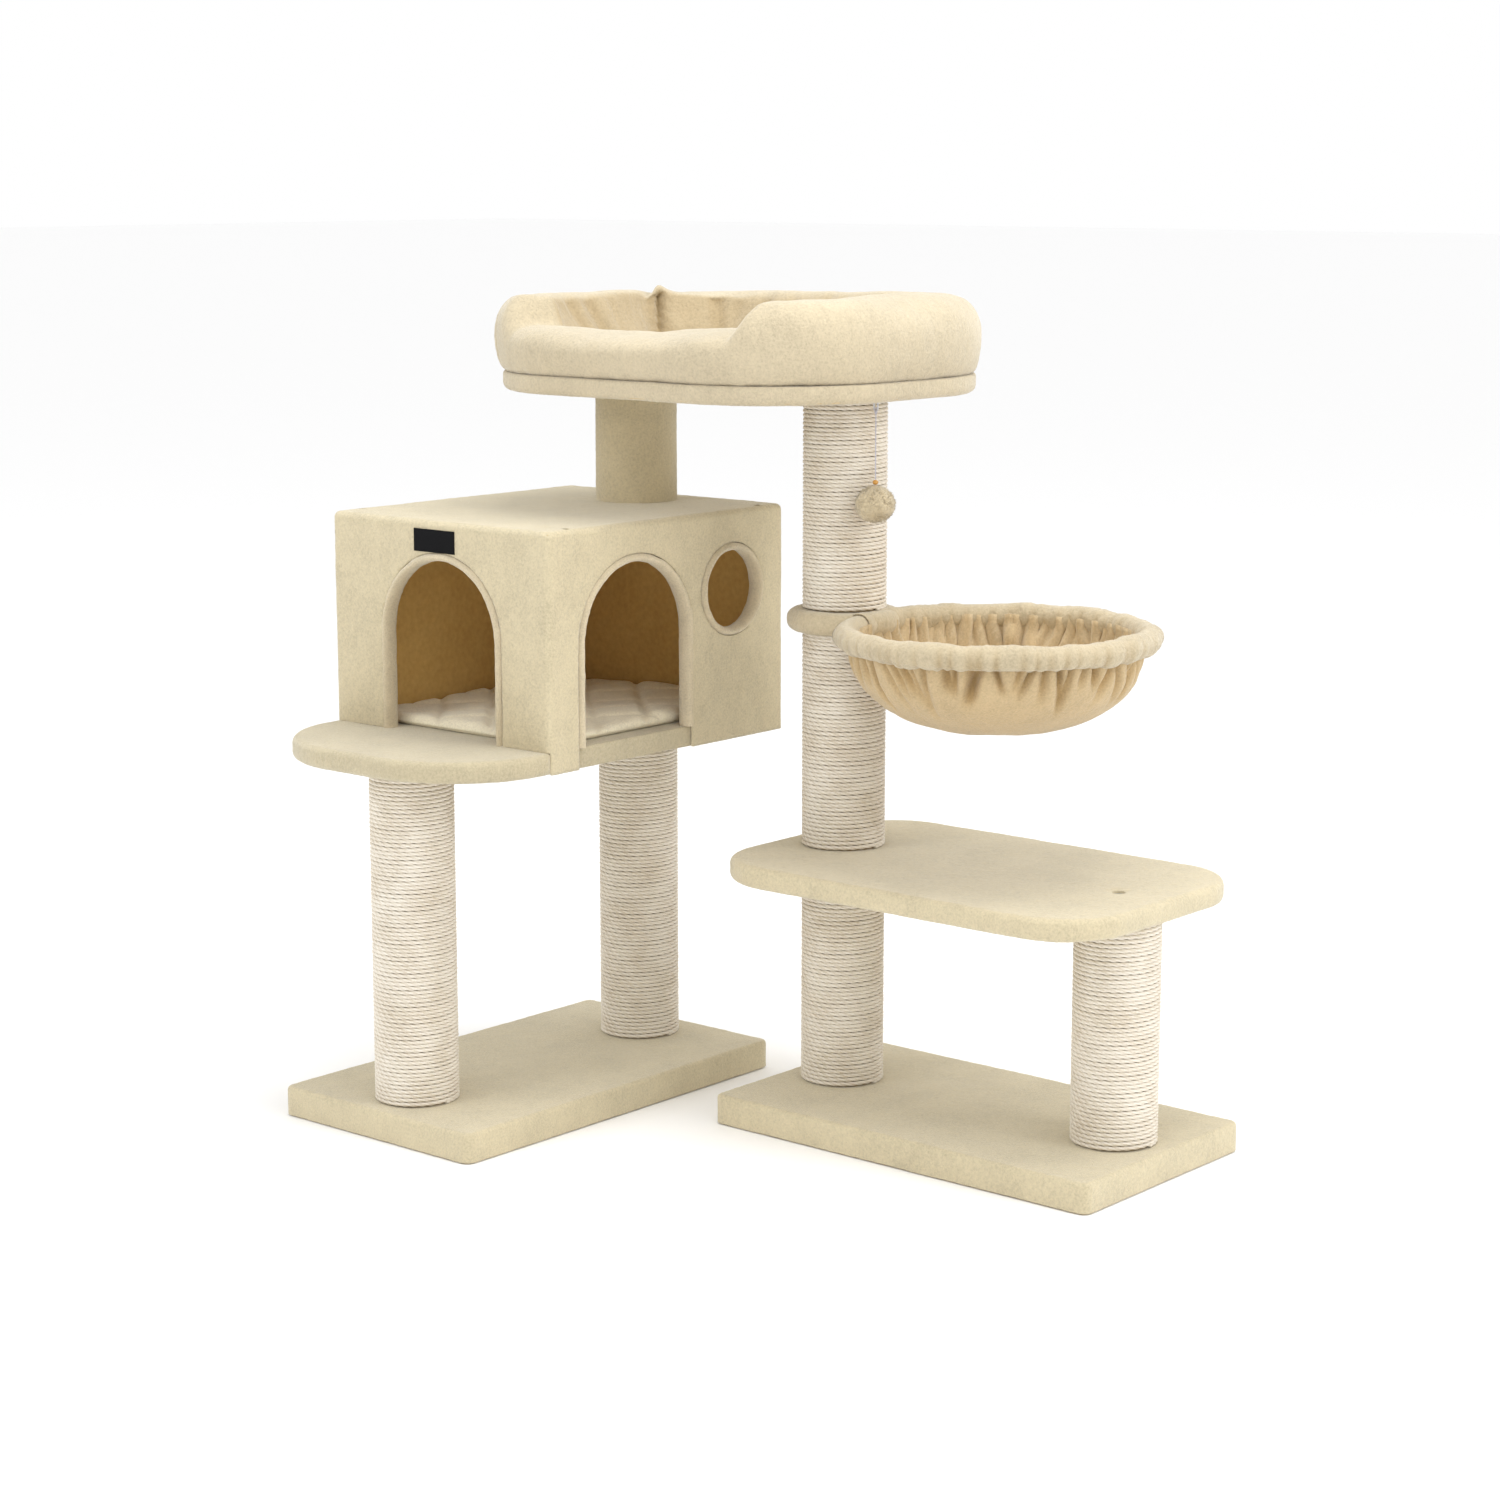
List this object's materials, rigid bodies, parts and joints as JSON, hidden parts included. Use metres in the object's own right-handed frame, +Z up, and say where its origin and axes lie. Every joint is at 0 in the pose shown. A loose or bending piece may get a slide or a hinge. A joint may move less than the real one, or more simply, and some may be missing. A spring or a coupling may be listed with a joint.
{
  "type": "cat tree",
  "caption": "L-shaped cat tree: sisal posts on two bases, a two-door cave with a round window, a shelf, a hanging basket, a bolstered perch and a ball on a string.",
  "frame": {"origin": "middle of the whole footprint, on the floor", "axes": "+Z up; +X along the shelf's base, away from the cave; +Y towards the back of the cave, away from its front door and porch"},
  "size_m": [0.883, 0.632, 0.876],
  "materials": {
    "plush": "short beige plush",
    "soft_plush": "long soft beige plush",
    "mat_plush": "cream quilted plush",
    "ball_plush": "fluffy plush",
    "sisal": "twisted natural sisal rope",
    "string": "thin twisted string",
    "label_ribbon": "plain dark woven ribbon",
    "cardboard": "wound cardboard tube",
    "fibreboard": "raw fibreboard",
    "plywood": "raw plywood",
    "plug_plastic": "black plastic",
    "bead": "small amber bead",
    "zinc_steel": "zinc plated"
  },
  "bodies": {
    "tree": {"front_post_tube": "cardboard", "front_post_rope": "sisal", "corner_post_tube": "cardboard", "corner_post_rope": "sisal", "neck_post_tube": "cardboard", "neck_post_plush": "plush", "short_post_tube": "cardboard", "short_post_rope": "sisal", "tall_post_lower_tube": "cardboard", "tall_post_lower_rope": "sisal", "tall_post_middle_tube": "cardboard", "tall_post_middle_rope": "sisal", "tall_post_upper_tube": "cardboard", "tall_post_upper_rope": "sisal", "post_plugs": "plug_plastic", "cave_base_board": "fibreboard", "cave_base_cover": "plush", "shelf_base_board": "fibreboard", "shelf_base_cover": "plush", "base_bolts": "zinc_steel", "base_washers": "zinc_steel", "cave_floor_board": "fibreboard", "cave_floor_cover": "plush", "floor_inserts": "zinc_steel", "floor_studs": "zinc_steel", "cave_left_wall": "fibreboard", "cave_side_wall": "fibreboard", "cave_front_wall": "fibreboard", "cave_back_wall": "fibreboard", "cave_roof_board": "fibreboard", "cave_cover": "plush", "roof_screws": "zinc_steel", "front_door_trim": "soft_plush", "side_door_trim": "soft_plush", "window_trim": "soft_plush", "cave_label": "label_ribbon", "cave_mat": "mat_plush", "shelf_board": "fibreboard", "shelf_cover": "plush", "perch_board": "fibreboard", "perch_cover": "plush", "perch_bolster": "soft_plush", "deck_bolts": "zinc_steel", "deck_washers": "zinc_steel", "post_studs": "zinc_steel", "toy_staple": "zinc_steel"},
    "basket": {"basket_frame": "plywood", "basket_frame_cover": "soft_plush", "basket_pouch": "soft_plush"},
    "cushion": {"perch_cushion": "soft_plush"},
    "toy": {"toy_string": "string", "toy_bead": "bead", "toy_ball": "ball_plush"}
  },
  "joints": [
    {"name": "basket_swivel", "type": "hinge", "parent": "tree", "child": "basket", "pos_m": [0.0245, 0.116, 0.535], "axis": [0, 0, 1], "range_deg": [-75, 75]},
    {"name": "cushion_lift", "type": "slide", "parent": "tree", "child": "cushion", "axis": [0, 0, 1], "range_m": [0, 0.12]},
    {"name": "toy_swing", "type": "hinge", "parent": "tree", "child": "toy", "pos_m": [0.09073, 0.08298, 0.761], "axis": [0.8949, -0.4462, 0], "range_deg": [-60, 60]}
  ]
}
